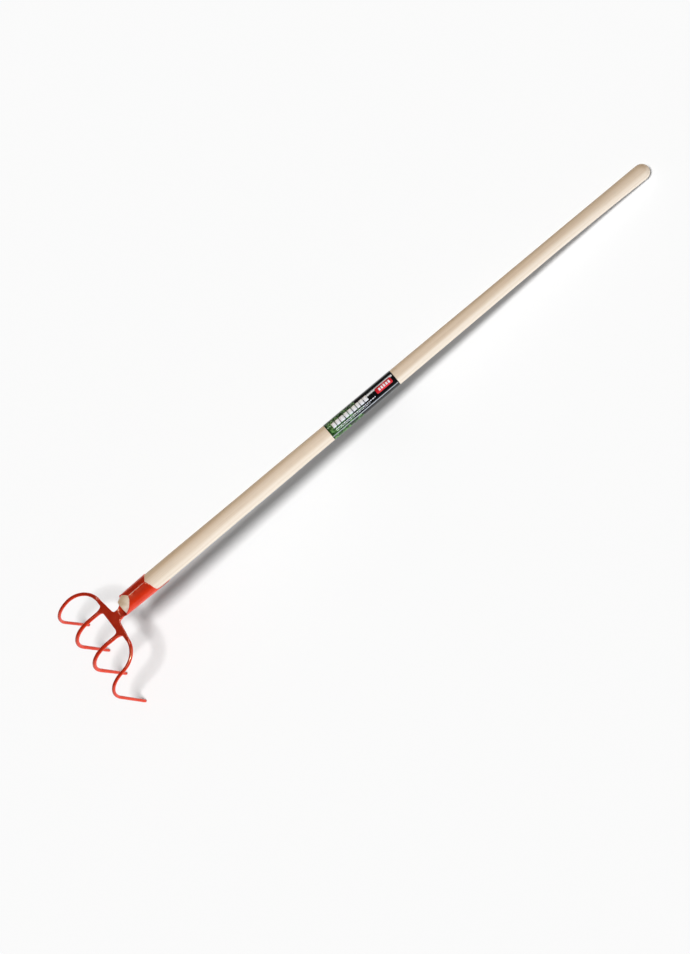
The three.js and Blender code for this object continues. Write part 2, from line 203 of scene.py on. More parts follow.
# ---- Camera ----
CAMERA_AIM = (444.6, -103, 0)
CAMERA_DISTANCE = 5662
CAMERA_LEAN = 29  # degrees off straight above the tool, towards -Y
CAMERA_ROLL = 40
FOCAL_LENGTH = 105.66  # mm, on a 36 mm sensor along the picture's long side


def make_camera():
    data = bpy.data.cameras.new("camera")
    data.sensor_width = 36
    data.lens = FOCAL_LENGTH
    data.clip_end = 50
    camera = bpy.data.objects.new("camera", data)
    bpy.context.scene.collection.objects.link(camera)
    lean = Matrix.Rotation(math.radians(CAMERA_LEAN), 4, "X")
    roll = Matrix.Rotation(math.radians(-CAMERA_ROLL), 4, "Z")
    turn = lean @ roll
    back_off = Matrix.Translation((0, 0, CAMERA_DISTANCE * MM))
    aimed = Matrix.Translation(Vector(CAMERA_AIM) * MM) @ turn @ back_off
    camera.matrix_world = TOOL @ aimed
    bpy.context.scene.camera = camera


make_camera()


# ---- Collections, which also say what a light falls on ----
def linked_collection(name, pieces=()):
    collection = bpy.data.collections.new(name)
    bpy.context.scene.collection.children.link(collection)
    for piece in pieces:
        collection.objects.link(piece)
    return collection


TOOL_PIECES = linked_collection("tool")


# ---- Mesh helpers ----
def read_table(table, x):
    return float(np.interp(x, [row[0] for row in table], [row[1] for row in table]))


def smoothstep(value, start, end):
    share = min(1.0, max(0.0, (value - start) / (end - start)))
    return share * share * (3 - 2 * share)


def mix(a, b, share):
    return a + (b - a) * share


def add_piece(name, mesh, material, replaced=()):
    """Puts a mesh made in tool axes and metres into the frame as a piece of the object."""
    mesh.transform(TOOL)
    for polygon in mesh.polygons:
        polygon.use_smooth = True
    piece = bpy.data.objects.new(name, mesh)
    TOOL_PIECES.objects.link(piece)
    mesh.materials.clear()
    mesh.materials.append(material)
    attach(piece, "root")
    if replaced:
        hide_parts(*replaced)
    return piece


def mesh_from(name, points, faces):
    """A mesh from points in mm."""
    mesh = bpy.data.meshes.new(name)
    mesh.from_pydata([Vector(p) * MM for p in points], [], faces)
    mesh.validate()
    mesh.update()
    return mesh


def tube_faces(ring_count, ring_size):
    """Quads between rings, and one face to close each end."""
    faces = []
    for i in range(ring_count - 1):
        for j in range(ring_size):
            k = (j + 1) % ring_size
            a, b = i * ring_size, (i + 1) * ring_size
            faces.append((a + j, a + k, b + k, b + j))
    last = (ring_count - 1) * ring_size
    faces.append(tuple(reversed(range(ring_size))))
    faces.append(tuple(last + j for j in range(ring_size)))
    return faces


def ring_round(centre, across, side, radius_across, radius_side, count):
    ring = []
    for j in range(count):
        angle = 2 * math.pi * j / count
        reach = centre + across * radius_across * math.cos(angle)
        ring.append(reach + side * radius_side * math.sin(angle))
    return ring


# ---- Material helpers ----
class Nodes:
    """A node tree being written: each call adds a node, sets its inputs and gives its first output."""

    def __init__(self, name):
        self.material = bpy.data.materials.new(name)
        self.material.use_nodes = True
        self.tree = self.material.node_tree
        self.shader = self.tree.nodes["Principled BSDF"]

    def put(self, socket, value):
        if isinstance(value, bpy.types.NodeSocket):
            self.tree.links.new(value, socket)
        else:
            socket.default_value = value

    def add(self, kind, inputs=None, output=0, **settings):
        node = self.tree.nodes.new(kind)
        for key, value in settings.items():
            setattr(node, key, value)
        for key, value in (inputs or {}).items():
            self.put(node.inputs[key], value)
        return node.outputs[output]

    def place(self):
        """The point in tool axes, in metres."""
        inverse = TOOL.inverted()
        inputs = {"Vector": self.add("ShaderNodeTexCoord", output="Object")}
        inputs.update(Location=inverse.translation, Rotation=inverse.to_euler())
        return self.add("ShaderNodeMapping", inputs)

    def stretched(self, scale, offset=(0, 0, 0)):
        return self.add("ShaderNodeMapping", {"Vector": self.place(), "Scale": scale, "Location": offset})

    def grain(self, vector, scale, detail=4, rough=0.55, distortion=0.0):
        inputs = {"Vector": vector, "Scale": scale, "Detail": detail}
        inputs.update(Roughness=rough, Distortion=distortion)
        return self.add("ShaderNodeTexNoise", inputs)

    def math(self, operation, a, b=0.0):
        return self.add("ShaderNodeMath", {0: a, 1: b}, operation=operation)

    def band(self, value, low, high, to_low=0.0, to_high=1.0):
        inputs = {"Value": value, "From Min": low, "From Max": high, "To Min": to_low, "To Max": to_high}
        return self.add("ShaderNodeMapRange", inputs)

    def ramp(self, value, stops):
        node = self.tree.nodes.new("ShaderNodeValToRGB")
        while len(node.color_ramp.elements) < len(stops):
            node.color_ramp.elements.new(0.5)
        for element, (position, colour) in zip(node.color_ramp.elements, stops):
            element.position = position
            element.color = (*colour, 1)
        self.put(node.inputs[0], value)
        return node.outputs[0]

    def blend(self, share, a, b):
        node = self.tree.nodes.new("ShaderNodeMix")
        node.data_type = "RGBA"
        for index, value in ((0, share), (6, a), (7, b)):
            self.put(node.inputs[index], value if not isinstance(value, tuple) else (*value, 1))
        return node.outputs[2]

    def bump(self, height, strength, distance, under=None):
        inputs = {"Height": height, "Strength": strength, "Distance": distance}
        if under is not None:
            inputs["Normal"] = under
        return self.add("ShaderNodeBump", inputs)

    def finish(self, **inputs):
        for key, value in inputs.items():
            socket = self.shader.inputs[key.replace("_", " ")]
            self.put(socket, (*value, 1) if isinstance(value, tuple) else value)
        return self.material


# ---- Wood ----
WOOD_DARK = (0.70, 0.535, 0.37)
WOOD_MIDDLE = (0.80, 0.645, 0.475)
WOOD_LIGHT = (0.86, 0.72, 0.56)
WOOD_WARM = (0.80, 0.63, 0.45)
WOOD_FLECK = (0.50, 0.33, 0.19)
END_DARK = (0.62, 0.45, 0.29)
END_LIGHT = (0.84, 0.68, 0.50)
END_SHARE = 0.6  # how far a cut end turns to the end grain's colours


def wood_material():
    """Pale turned beech: rings about a pith off the axis, long fibres, dark flecks, brown end grain."""
    n = Nodes("turned_beech")
    drift = n.grain(n.stretched((1.1, 9, 9)), 3.0, 2)
    rings = n.add(
        "ShaderNodeTexWave",
        {
            "Vector": n.stretched((0.22, 1, 1), (0.0, 0.012, 0.041)),
            "Scale": 34.0,
            "Distortion": 1.6,
            "Detail": 2.0,
            "Detail Scale": 0.9,
        },
        output="Fac",
        wave_type="RINGS",
        rings_direction="X",
    )
    fibres = n.grain(n.stretched((7, 520, 520)), 1.0, 5, 0.6, 0.15)
    streaks = n.grain(n.stretched((1.6, 90, 90)), 1.0, 3, 0.5)
    flecks = n.grain(n.stretched((230, 1500, 1500)), 1.0, 2, 0.5)
    tone = n.math("ADD", n.math("MULTIPLY", rings, 0.16), n.math("MULTIPLY", streaks, 0.5))
    tone = n.math("ADD", tone, n.math("MULTIPLY", fibres, 0.34))
    colour = n.ramp(tone, [(0.30, WOOD_DARK), (0.48, WOOD_MIDDLE), (0.66, WOOD_LIGHT)])
    colour = n.blend(n.band(drift, 0.42, 0.7, 0, 0.3), colour, WOOD_WARM)
    colour = n.blend(n.band(flecks, 0.66, 0.74, 0, 0.22), colour, WOOD_FLECK)
    facing = n.add("ShaderNodeSeparateXYZ", {0: n.add("ShaderNodeTexCoord", output="Normal")})
    end_grain = n.band(n.math("ABSOLUTE", facing), 0.86, 0.99)
    pores = n.ramp(n.grain(n.stretched((300, 900, 900)), 1.0, 3), [(0.35, END_DARK), (0.65, END_LIGHT)])
    colour = n.blend(n.math("MULTIPLY", end_grain, END_SHARE), colour, pores)
    relief = n.bump(fibres, 0.3, 0.0001)
    relief = n.bump(flecks, 0.2, 0.00006, relief)
    return n.finish(
        Base_Color=colour,
        Roughness=n.band(fibres, 0.3, 0.7, 0.46, 0.6),
        Normal=relief,
        Specular_IOR_Level=0.45,
    )


def handle_radius(x):
    """The profile, rounded between its rows, and domed at the butt."""
    dome_start = HANDLE_BUTT_X - BUTT_ROUND
    if x > dome_start:
        share = (x - dome_start) / BUTT_ROUND
        along, out = DOME_POWERS
        return read_table(HANDLE_PROFILE, dome_start) * max(0.0, 1 - share**along) ** (1 / out)
    if x < HANDLE_PROFILE[0][0]:
        share = (HANDLE_PROFILE[0][0] - x) / (HANDLE_PROFILE[0][0] - HANDLE_CUT_X)
        return mix(HANDLE_PROFILE[0][1], HANDLE_CUT_RADIUS, share**WHITTLE_CURVE)
    nearby = [x + PROFILE_ROUNDING * share for share in (-1, -0.5, 0, 0.5, 1)]
    return sum(read_table(HANDLE_PROFILE, place) for place in nearby) / len(nearby)


def handle_centre(x):
    bowed = max(0.0, (x - BUTT_BOW_START_X) / (HANDLE_BUTT_X - BUTT_BOW_START_X))
    fitted = min(1.0, max(0.0, (HANDLE_PROFILE[0][0] - x) / (HANDLE_PROFILE[0][0] - HANDLE_CUT_X)))
    return Vector((x, -BUTT_BOW * bowed**2, -HANDLE_CUT_DROP * fitted))


def handle_stations():
    """Close together on the rounded butt and at the whittled end, wide apart on the long shaft."""
    dome_start = HANDLE_BUTT_X - BUTT_ROUND
    whittled_steps, shaft_steps, dome_steps = 12, 180, 22
    past_rim = 1.2
    whittled = list(np.linspace(HANDLE_CUT_X + past_rim, HANDLE_PROFILE[0][0], whittled_steps))
    shaft = list(np.linspace(HANDLE_PROFILE[0][0], dome_start, shaft_steps))[1:]
    dome = [dome_start + BUTT_ROUND * math.sin(math.pi / 2 * i / dome_steps) for i in range(1, dome_steps)]
    return whittled + shaft + dome


def make_handle():
    ring_size = 96
    ahead = Vector((0, 0, -1))
    side = Vector((0, 1, 0))
    points = []
    cut_radius = handle_radius(HANDLE_CUT_X)
    rings = [(HANDLE_CUT_X, cut_radius * CUT_MIDDLE_SHARE)]
    rings += [(HANDLE_CUT_X + past, cut_radius - short) for past, short in CUT_RIM]
    rings += [(x, handle_radius(x)) for x in handle_stations()]
    rings += [(HANDLE_BUTT_X, HANDLE_BUTT_RADIUS)]
    full_wander_radius = 10  # nearer the axis the wander fades out
    for x, radius in rings:
        for point in ring_round(handle_centre(x), ahead, side, radius, radius, ring_size):
            wander = noise.noise(Vector([at / length for at, length in zip(point, WANDER_LENGTHS)]))
            out = Vector((0, point.y, point.z)).normalized()
            points.append(point + out * WOOD_WANDER * wander * min(1.0, radius / full_wander_radius))
    mesh = mesh_from("handle_wood", points, tube_faces(len(rings), ring_size))
    add_piece("beech_handle", mesh, wood_material(), ["handle"])


make_handle()


# ---- Forged head ----
def socket_radius(x):
    return MOUTH_RADIUS + SOCKET_TAPER * min(x, 0)


def sheet_point(turn, x, depth):
    """A point of the sheet, turn -1..1 round from seam to seam by way of the back, depth mm in."""
    reach = 180 + math.copysign(SEAM_LEAN, turn)
    radius = socket_radius(x)
    half_gap = math.degrees(SEAM_GAP / 2 / radius)
    angle = turn * (reach - half_gap)
    past = max(0.0, abs(angle) - (reach - (PEAK_LEFT if turn > 0 else PEAK_RIGHT)))
    peaked = radius / math.cos(math.radians(past))
    angle = math.radians(angle)
    flat = smoothstep(-x, -NECK_FLAT_X[0], -NECK_FLAT_X[1])
    thick = smoothstep(-x, -NECK_THICKEN_X[0], -NECK_THICKEN_X[1])
    inward = depth * mix(1, PLATE_THICKNESS / SHEET, thick)
    rolled = Vector((x, (peaked - inward) * math.sin(angle), -(peaked - inward) * math.cos(angle)))
    plate = Vector((x, radius * math.sin(angle), inward - PLATE_UNDERSIDE))
    return rolled.lerp(plate, flat)


def socket_body():
    """The rolled sheet as one closed strip."""
    columns, rows = 150, 90
    points, faces = [], []
    ring_size = 2 * (rows + 1)
    for i in range(columns + 1):
        turn = -1 + 2 * i / columns
        angle = abs(turn) * 180
        low = read_table(LOWER_RIM_LEFT if turn > 0 else LOWER_RIM_RIGHT, angle)
        high = read_table(UPPER_RIM, angle)
        stations = [low + (high - low) * j / rows for j in range(rows + 1)]
        points += [sheet_point(turn, x, 0) for x in stations]
        points += [sheet_point(turn, x, SHEET) for x in reversed(stations)]
    for face in tube_faces(columns + 1, ring_size):
        faces.append(tuple(reversed(face)))
    return points, faces


def plate_outline(side):
    """Half the forging's plan: neck, crossbar and the roots of the tines, by Bezier stretches."""
    outer, inner = INNER_TINE_Y + TINE_ROOT_RADIUS, INNER_TINE_Y - TINE_ROOT_RADIUS
    neck_end = (NECK_END_X, NECK_HALF_WIDTH)
    neck_corner = (CROSSBAR_BACK_X + NECK_CURVE[0], NECK_HALF_WIDTH + NECK_CURVE[1])
    shoulder = (CROSSBAR_BACK_X, NECK_SHOULDER_Y)
    outer_back = (CROSSBAR_X + TINE_ROOT_RADIUS, OUTER_TINE_START_Y)
    outer_front = (CROSSBAR_X - TINE_ROOT_RADIUS, OUTER_TINE_START_Y)
    back_tip, front_tip = [(CROSSBAR_X + x, OUTER_TINE_START_Y + STUB_TAPER) for x in OUTER_STUB_TIP]
    outer_side, inner_side = (ROOT_CURVE_X[0], outer), (ROOT_CURVE_X[1], inner)
    stub_end_x = ROOT_CURVE_X[0] - STUB_TAPER
    front_corner = (CROSSBAR_FRONT_X + FRONT_CURVE[0], inner - FRONT_CURVE[1])
    front_start = (CROSSBAR_FRONT_X, FRONT_EDGE_Y)
    stretches = [
        [(NECK_END_X + NECK_OVERLAP, NECK_HALF_WIDTH - NECK_WAIST), neck_end],
        [neck_end, neck_corner, shoulder],
        [shoulder, BACK_EDGE_END],
        [BACK_EDGE_END, BACK_EDGE_CURVE, outer_back],
        [outer_back, back_tip],
        [front_tip, outer_front],
        [outer_front, (WEB_X, outer + WEB_REACH), outer_side],
        [outer_side, (stub_end_x, INNER_TINE_Y + INNER_STUB_TIP)],
        [(stub_end_x, INNER_TINE_Y - INNER_STUB_TIP), inner_side],
        [inner_side, front_corner, front_start],
        [front_start, (CROSSBAR_FRONT_X, 0)],
    ]
    curve_steps, same_point = 8, 0.05
    outline = []
    for stretch in stretches:
        steps = 1 if len(stretch) == 2 else curve_steps
        for i in range(steps + 1):
            u = i / steps
            corners = [Vector(p) for p in stretch]
            while len(corners) > 1:
                corners = [a.lerp(b, u) for a, b in zip(corners, corners[1:])]
            if not outline or (corners[0] - outline[-1]).length > same_point:
                outline.append(corners[0])
    return [Vector((p.x, side * p.y)) for p in outline]


def plate_body():
    """The plan stood up to the plate's thickness; forging rounds its rims."""
    left, right = plate_outline(1), plate_outline(-1)
    outline = left + list(reversed(right))[1:]
    turn = sum(a.x * b.y - a.y * b.x for a, b in zip(outline, outline[1:] + outline[:1]))
    if turn < 0:
        outline.reverse()
    points = [(*p, height - PLATE_UNDERSIDE) for height in (0, PLATE_THICKNESS) for p in outline]
    return points, tube_faces(2, len(outline))


def aim(aside, dip):
    """Heading dipped below level, and turned aside from straight ahead."""
    aside, dip = math.radians(aside), math.radians(dip)
    return Vector((-math.cos(dip) * math.cos(aside), math.cos(dip) * math.sin(aside), -math.sin(dip)))


def hook_aim(side, dip):
    """Heading in a hook's own plane, which leans outwards by the flare."""
    dip = math.radians(dip)
    return Vector((-math.cos(dip), side * math.tan(math.radians(OUTER_FLARE)), -math.sin(dip))).normalized()


class Run:
    """A tine's centreline as it is drawn: points, and the heading at each."""

    def __init__(self, point, heading):
        self.stations = [(Vector(point), heading.copy())]

    def straight(self, length, steps):
        point, heading = self.stations[-1]
        for i in range(1, steps + 1):
            self.stations.append((point + heading * (length * i / steps), heading))

    def turn_to(self, heading, radius, steps):
        point, start = self.stations[-1]
        axis = start.cross(heading).normalized()
        hub = point + axis.cross(start) * radius
        angle = start.angle(heading)
        for i in range(1, steps + 1):
            turn = Matrix.Rotation(angle * i / steps, 3, axis)
            self.stations.append((hub + turn @ (point - hub), turn @ start))

    def to_ground(self, steps):
        point, heading = self.stations[-1]
        drop = math.tan(REST_TILT)
        short = point.z - (TIP_CENTRE[1] + (point.x - TIP_CENTRE[0]) * drop)
        self.straight(short / (heading.x * drop - heading.z), steps)


def inner_run(side):
    run = Run((INNER_TINE_START_X, side * INNER_TINE_Y, PLATE_THICKNESS / 2 - PLATE_UNDERSIDE), aim(0, 0))
    run.straight(INNER_TINE_START_X - INNER_FORWARD_END_X, 14)
    run.turn_to(aim(0, EASE_DIP), EASE_RADIUS, 6)
    run.turn_to(aim(0, LEG_DIP), BEND_RADIUS, 60)
    run.to_ground(40)
    return run


def outer_run(side):
    height = PLATE_THICKNESS / 2 - PLATE_UNDERSIDE
    start = (CROSSBAR_X, side * (OUTER_TINE_START_Y - OUTER_ROOT_OVERLAP), height)
    run = Run(start, aim(side * 90, 0))
    run.straight(OUTER_ROOT_OVERLAP, 5)
    run.turn_to(aim(side * OUTER_SWEEP_END, OUTER_SWEEP_DIP), OUTER_SWEEP_RADIUS, 44)
    run.turn_to(hook_aim(side, OUTER_HOOK_DIP), OUTER_BEND_RADIUS, 8)
    run.turn_to(hook_aim(side, LEG_DIP), OUTER_BEND_RADIUS, 60)
    run.to_ground(40)
    return run


def tine_body(run, stoutness):
    """Drawn down from a squarish root to a round leg and a blunt rounded tip."""
    ring_size = 40
    lengths = [0.0]
    for (a, _), (b, _) in zip(run.stations, run.stations[1:]):
        lengths.append(lengths[-1] + (b - a).length)
    total = lengths[-1]
    bend_radius = TINE_BEND_RADIUS + stoutness
    tip_radius = TINE_TIP_RADIUS + TIP_STOUTNESS
    taper = [
        (0, TINE_ROOT_RADIUS),
        (total * DRAWN_SHARE, bend_radius + DRAWN_SPARE),
        (total * BEND_SHARE, bend_radius),
        (total, tip_radius),
    ]
    across = Vector((0, 0, 1))
    points = []
    for (point, heading), length in zip(run.stations, lengths):
        across = (across - heading * across.dot(heading)).normalized()
        radius = read_table(taper, length)
        upright = mix(PLATE_THICKNESS / 2 - ROOT_SUNK, radius, smoothstep(length, ROOT_FLAT, 3 * ROOT_FLAT))
        points += ring_round(point, across, heading.cross(across), upright, radius, ring_size)
    tip, heading = run.stations[-1]
    for angle in TIP_DOME_ANGLES:
        ahead = tip + heading * TINE_TIP_RADIUS * math.sin(math.radians(angle))
        radius = tip_radius * math.cos(math.radians(angle))
        points += ring_round(ahead, across, heading.cross(across), radius, radius, ring_size)
    return points, tube_faces(len(points) // ring_size, ring_size)


def joined(bodies):
    points, faces = [], []
    for body_points, body_faces in bodies:
        faces += [tuple(i + len(points) for i in face) for face in body_faces]
        points += body_points
    return points, faces


VOXEL = 0.5
FILLET_REACH = 11
FILLET_CORE = 0.4  # of the reach, smoothed in full
FILLET_PASSES = 36
SOLID_SMOOTHING = 0.45  # of a fillet's, on the neck and everything beyond it
EVEN_PASSES = 5
JUNCTIONS = [
    # (x, distance from the middle)
    (CROSSBAR_BACK_X, 13.5),
    (INNER_TINE_START_X - 10, INNER_TINE_Y),
    (CROSSBAR_X, OUTER_TINE_START_Y),
    (-92, 0),
]


def forge(name, points, faces):
    """Makes one continuous skin of overlapping bodies, with fillets worked into the junctions."""
    rough = bpy.data.objects.new(name + "_rough", mesh_from(name + "_rough", points, faces))
    bpy.context.scene.collection.objects.link(rough)
    skin = rough.modifiers.new("skin", "REMESH")
    skin.mode = "VOXEL"
    skin.voxel_size = VOXEL * MM * 1
    skin.adaptivity = 0
    whole = bpy.data.meshes.new_from_object(rough.evaluated_get(bpy.context.evaluated_depsgraph_get()))
    rough.modifiers.clear()
    rough.data = whole
    group = rough.vertex_groups.new(name="fillets")
    for vertex in whole.vertices:
        x, y, _ = vertex.co / MM
        near = min(math.hypot(x - jx, abs(y) - jy) for jx, jy in JUNCTIONS)
        share = 1 - smoothstep(near, FILLET_REACH * FILLET_CORE, FILLET_REACH)
        solid = SOLID_SMOOTHING * (1 - smoothstep(x, NECK_END_X, NECK_FLAT_X[0]))
        if max(share, solid) > 0:
            group.add([vertex.index], max(share, solid), "REPLACE")
    fillets = rough.modifiers.new("fillets", "SMOOTH")
    fillets.factor = 0.5
    fillets.iterations = FILLET_PASSES
    fillets.vertex_group = group.name
    even = rough.modifiers.new("even", "SMOOTH")
    even.factor = 0.5
    even.iterations = EVEN_PASSES
    mesh = bpy.data.meshes.new_from_object(rough.evaluated_get(bpy.context.evaluated_depsgraph_get()))
    mesh.name = name
    bpy.data.objects.remove(rough)
    return mesh


HOLLOW_DEPTH = 0.06
HOLLOW_DEPTH_SOLID = 0.16  # more on the neck, crossbar and tines
HOLLOW_DEPTH_SEAM = 0.9  # more along the seam
HOLLOW_SPACING = 11
SOLID_X = (-90, -70)
SEAM_REACH = (2, 7)


def hammer(mesh):
    """Forging leaves long shallow hollows, deepest on the solid neck and crossbar and along the seam."""
    normals = [v.normal.copy() for v in mesh.vertices]
    seam = Vector((0, math.sin(math.radians(-SEAM_LEAN)), math.cos(math.radians(SEAM_LEAN)))) * MOUTH_RADIUS
    for vertex, normal in zip(mesh.vertices, normals):
        place = vertex.co / MM
        solid = 1 - smoothstep(place.x, *SOLID_X)
        ridge = 1 - smoothstep(math.hypot(place.y - seam.y, place.z - seam.z), *SEAM_REACH)
        depth = HOLLOW_DEPTH + HOLLOW_DEPTH_SOLID * solid + HOLLOW_DEPTH_SEAM * ridge
        vertex.co += normal * depth * MM * noise.noise(place / HOLLOW_SPACING)
    mesh.update()


ENAMEL_DEEP = (0.64, 0.026, 0.005)
ENAMEL_BRIGHT = (0.74, 0.037, 0.008)
ENAMEL_RIM = (0.84, 0.10, 0.035)


def enamel_material():
    """Dipped red enamel: glossy, a little uneven, and lighter along sharp rims."""
    n = Nodes("red_enamel")
    clouds = n.grain(n.place(), 38.0, 3)
    specks = n.grain(n.place(), 900.0, 2)
    colour = n.ramp(clouds, [(0.3, ENAMEL_DEEP), (0.7, ENAMEL_BRIGHT)])
    rim = n.band(n.add("ShaderNodeNewGeometry", output="Pointiness"), 0.56, 0.68, 0, 0.55)
    colour = n.blend(rim, colour, ENAMEL_RIM)
    peel = n.bump(n.grain(n.place(), 420.0, 2), 0.10, 0.00006)
    relief = n.bump(specks, 0.05, 0.00003, peel)
    return n.finish(
        Base_Color=colour,
        Roughness=n.band(clouds, 0.3, 0.7, 0.16, 0.27),
        Normal=relief,
        Specular_IOR_Level=0.4,
        Specular_Tint=(1.0, 0.72, 0.5),
        Coat_Weight=0.2,
        Coat_Roughness=0.06,
    )


def make_head():
    bodies = [socket_body(), plate_body()]
    for side in (1, -1):
        bodies += [tine_body(inner_run(side), INNER_STOUTNESS), tine_body(outer_run(side), OUTER_STOUTNESS)]
    mesh = forge("forged_head", *joined(bodies))
    hammer(mesh)
    nodes = ["socket", "neck_crossbar"]
    nodes += ["tine_inner_left", "tine_inner_right", "tine_outer_left", "tine_outer_right"]
    return add_piece("forged_head", mesh, enamel_material(), nodes)


HEAD = make_head()


# ---- Label ----
FACE_LEAN = -CAMERA_LEAN  # the printed front is turned this far from the top, towards -Y
LEAF_END_X = 556
LEAF_ROUND = (-24, 30)  # distances round from the printed front, + towards -Y, like the others below
TITLE_X = (491, 588)
TITLE_ROUND = (-11.4, 0.2)
SMALL_PRINT_ROWS = ((3.6, 1.7, 596), (7.0, 1.1, 580))  # (round, height, end x)
LINE_ROUND = (11.8, 13.7)
BADGE_X = (604, 645)
BADGE_ROUND = (-8.6, 4.2)
BADGE_MARK_ROUND = (-5.2, 0.8)
FILM_LIP = 0.12
FILM_LIP_LENGTH = 1.5
GREEN_LENGTH = 18  # the film is fully green for this far, then fades to black
PRINT_LIFT = 0.04  # from the film to the lowest ink
PRINT_DEPTH = 0.09

FILM_BLACK = (0.002, 0.002, 0.0025)
FILM_SHEEN = (0.004, 0.004, 0.0045)
FILM_GREEN_DARK = (0.006, 0.028, 0.004)
FILM_GREEN = (0.03, 0.085, 0.016)
WHITE_INK = ((0.96, 0.96, 0.96), (0.88, 0.88, 0.89))
LEAF_GREEN_INK = ((0.035, 0.12, 0.02), (0.02, 0.075, 0.012))
LEAF_LIGHT_INK = ((0.16, 0.34, 0.085), (0.09, 0.22, 0.05))
# the printed silver line as flat grey ink, lightened to paint in its reflection of a lamp
SILVER_LINE_INK_AND_PAINTED_REFLECTION = ((0.50, 0.51, 0.51), (0.42, 0.43, 0.43))
BADGE_RED_INK = ((0.78, 0.016, 0.028), (0.68, 0.012, 0.022))


def film_radius(x):
    return handle_radius(x) + SLEEVE_GAP + SLEEVE_THICKNESS


def film_material():
    """Gloss black film, inked dark green towards the head, slightly uneven where it was shrunk on."""
    n = Nodes("black_film")
    clouds = n.grain(n.stretched((40, 160, 160)), 1.0, 3)
    colour = n.ramp(clouds, [(0.3, FILM_BLACK), (0.7, FILM_SHEEN)])
    along = n.add("ShaderNodeSeparateXYZ", {0: n.place()})
    green_clouds = n.grain(n.stretched((120, 200, 200)), 1.0, 3)
    green = n.ramp(green_clouds, [(0.3, FILM_GREEN_DARK), (0.7, FILM_GREEN)])
    fade = n.band(along, (SLEEVE_X[0] + GREEN_LENGTH) * MM, LEAF_END_X * MM, 1.0, 0.0)
    colour = n.blend(fade, colour, green)
    relief = n.bump(n.grain(n.stretched((30, 90, 90)), 1.0, 2), 0.2, 0.0003)
    return n.finish(Base_Color=colour, Roughness=n.band(clouds, 0.3, 0.7, 0.11, 0.19), Normal=relief)


def make_film():
    """A closed tube of film with its cut ends rolled very slightly outwards."""
    ring_size, steps = 120, 60
    wall = []
    for i in range(steps + 1):
        x = mix(*SLEEVE_X, i / steps)
        from_end = min(x - SLEEVE_X[0], SLEEVE_X[1] - x)
        lip = FILM_LIP * math.exp(-from_end / FILM_LIP_LENGTH)
        wall.append((x, film_radius(x) - SLEEVE_THICKNESS, film_radius(x) + lip))
    outside = [(x, outer) for x, _, outer in wall]
    inside = [(x, inner) for x, inner, _ in reversed(wall)]
    section = outside + inside
    points = []
    for j in range(ring_size):
        angle = 2 * math.pi * j / ring_size
        points += [(x, r * math.sin(angle), r * math.cos(angle)) for x, r in section]
    size = len(section)
    faces = []
    for j in range(ring_size):
        k = (j + 1) % ring_size
        for i in range(size):
            m = (i + 1) % size
            faces.append((k * size + i, k * size + m, j * size + m, j * size + i))
    mesh = mesh_from("label_film", points, faces)
    add_piece("label_film", mesh, film_material(), ["label_sleeve"])


def wrapped(name, outlines, lift):
    """Flat shapes (x, distance round from the printed front, + towards -Y) laid on the film as thin ink."""
    sheet = bmesh.new()
    for outline in outlines:
        sheet.faces.new([sheet.verts.new((x, v, 0)) for x, v in outline])
    strip = 1.6  # narrow enough for straight strips to follow the round
    strips = int(max(abs(v.co.y) for v in sheet.verts) / strip) + 1
    for i in range(-strips, strips + 1):
        everything = sheet.verts[:] + sheet.edges[:] + sheet.faces[:]
        bmesh.ops.bisect_plane(sheet, geom=everything, plane_co=(0, i * strip, 0), plane_no=(0, 1, 0))
    for vertex in sheet.verts:
        x, v, _ = vertex.co
        radius = film_radius(x) + lift
        angle = math.radians(FACE_LEAN) - v / film_radius(x)
        vertex.co = Vector((x, radius * math.sin(angle), radius * math.cos(angle))) * MM
    bmesh.ops.recalc_face_normals(sheet, faces=sheet.faces)
    for face in sheet.faces:
        if face.normal.dot(face.calc_center_median() * Vector((0, 1, 1))) < 0:
            face.normal_flip()
    bmesh.ops.solidify(sheet, geom=sheet.faces[:], thickness=PRINT_DEPTH * MM)
    mesh = bpy.data.meshes.new(name)
    sheet.to_mesh(mesh)
    sheet.free()
    return mesh


def rounded_box(x0, x1, v0, v1, radius, steps=4):
    outline = []
    corners = (
        (x1 - radius, v1 - radius, 0),
        (x0 + radius, v1 - radius, 90),
        (x0 + radius, v0 + radius, 180),
        (x1 - radius, v0 + radius, 270),
    )
    for x, v, start in corners:
        for i in range(steps + 1):
            angle = math.radians(start + 90 * i / steps)
            outline.append((x + radius * math.cos(angle), v + radius * math.sin(angle)))
    return outline


def leaf(x, v, length, width, heading):
    """A pointed leaf with a slight curve to its midrib."""
    along = (math.cos(heading), math.sin(heading))
    side = (-along[1], along[0])
    outline = []
    steps = 7
    fullness, midrib_curve = 0.8, 0.12
    for sign in (1, -1):
        for i in range(steps):
            u = i / steps if sign > 0 else 1 - i / steps
            swell = math.sin(math.pi * u)
            out = sign * width / 2 * swell**fullness + midrib_curve * length * swell
            place_x = x + along[0] * length * u + side[0] * out
            outline.append((place_x, v + along[1] * length * u + side[1] * out))
    return outline


def foliage(seed, count, lengths):
    """Leaves crowding the head-ward end and thinning out towards the title's end."""
    draw = random.Random(seed)
    crowding, margin = 1.7, 0.6
    leaves = []
    while len(leaves) < count:
        length = draw.uniform(*lengths)
        far = draw.random() ** crowding
        x = mix(SLEEVE_X[0] + 1.0, LEAF_END_X, far)
        v = draw.uniform(*LEAF_ROUND)
        heading = draw.uniform(0, 2 * math.pi)
        outline = leaf(x, v, length, length * draw.uniform(0.32, 0.5), heading)
        if min(p[0] for p in outline) > SLEEVE_X[0] + margin:
            leaves.append(outline)
    return leaves


